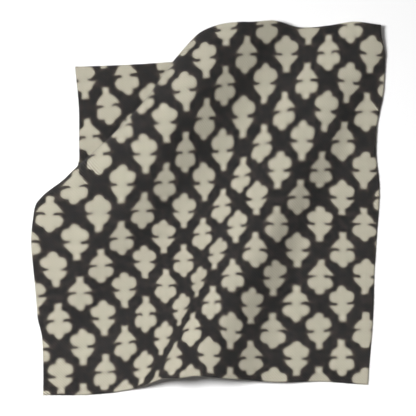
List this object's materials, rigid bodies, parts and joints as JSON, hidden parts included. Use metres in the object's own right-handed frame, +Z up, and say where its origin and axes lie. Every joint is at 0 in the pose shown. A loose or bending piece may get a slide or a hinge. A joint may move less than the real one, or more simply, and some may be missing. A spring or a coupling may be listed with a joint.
{
  "type": "folded length of printed cloth",
  "caption": "Cut length of printed plain-weave cloth lying in two loose diagonal folds, one corner tucked flat under the larger fold.",
  "frame": {"origin": "on the surface that the cloth lies on, under the middle of its outline", "axes": "+Z up from the surface, +X to the right and +Y to the top of the cloth as seen from above"},
  "size_m": [0.1978, 0.2094, 0.0235],
  "materials": {
    "printed_cloth": "matt plain weave, charcoal ground with pale sprigs"
  },
  "bodies": {
    "root": {"printed_cloth": "printed_cloth"}
  },
  "joints": []
}
